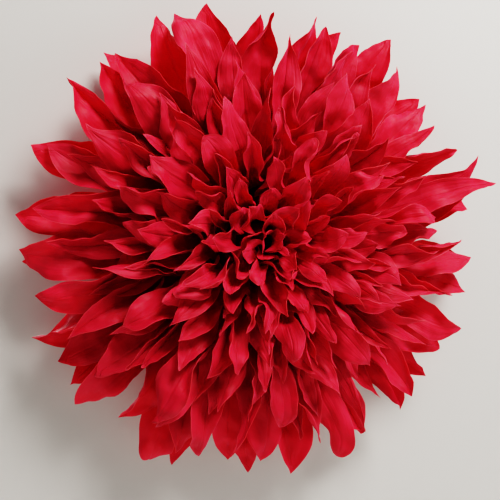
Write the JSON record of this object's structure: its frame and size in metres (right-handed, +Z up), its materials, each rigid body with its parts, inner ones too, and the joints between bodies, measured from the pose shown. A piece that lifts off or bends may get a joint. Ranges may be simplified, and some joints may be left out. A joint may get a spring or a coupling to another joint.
{
  "type": "giant paper flower",
  "caption": "Domed wall flower of pointed, cupped red card petals in overlapping rings, glued round a foam dome on a backing disc that is stuck to the wall.",
  "frame": {"origin": "centre of the wall side of the middle foam pad, on the wall plane and on the flower's axis", "axes": "+Z up the wall, +Y into the wall along the flower's axis, +X to the right for someone who faces the flower"},
  "size_m": [0.6953, 0.178, 0.6851],
  "materials": {
    "petal_card": "matte dyed card, crimson right through, with a soft sheen and paler cut edges",
    "foam_board": "matte paper-faced board, off-white",
    "painted_foam": "matte beaded foam, painted deep red",
    "pad_foam": "matte soft adhesive foam, pale grey"
  },
  "bodies": {
    "root": {"backing_disc": "foam_board", "foam_dome": "painted_foam", "wall_pad_1": "pad_foam", "wall_pad_2": "pad_foam", "wall_pad_3": "pad_foam", "wall_pad_4": "pad_foam", "wall_pad_5": "pad_foam", "petal_01_01": "petal_card", "petal_01_02": "petal_card", "petal_01_03": "petal_card", "petal_01_04": "petal_card", "petal_01_05": "petal_card", "petal_01_06": "petal_card", "petal_01_07": "petal_card", "petal_01_08": "petal_card", "petal_01_09": "petal_card", "petal_01_10": "petal_card", "petal_01_11": "petal_card", "petal_01_12": "petal_card", "petal_01_13": "petal_card", "petal_01_14": "petal_card", "petal_01_15": "petal_card", "petal_01_16": "petal_card", "petal_01_17": "petal_card", "petal_01_18": "petal_card", "petal_01_19": "petal_card", "petal_01_20": "petal_card", "petal_01_21": "petal_card", "petal_01_22": "petal_card", "petal_01_23": "petal_card", "petal_01_24": "petal_card", "petal_01_25": "petal_card", "petal_ring_02": "petal_card", "petal_ring_03": "petal_card", "petal_ring_04": "petal_card", "petal_ring_05": "petal_card", "petal_ring_06": "petal_card", "petal_ring_07": "petal_card", "petal_ring_08": "petal_card", "petal_ring_09": "petal_card", "petal_ring_10": "petal_card", "petal_ring_11": "petal_card", "petal_12_01": "petal_card", "petal_12_02": "petal_card", "petal_12_03": "petal_card", "petal_12_04": "petal_card", "petal_12_05": "petal_card", "petal_12_06": "petal_card", "petal_12_07": "petal_card", "petal_12_08": "petal_card", "petal_13_01": "petal_card", "petal_13_02": "petal_card", "petal_13_03": "petal_card", "petal_13_04": "petal_card"}
  },
  "joints": []
}
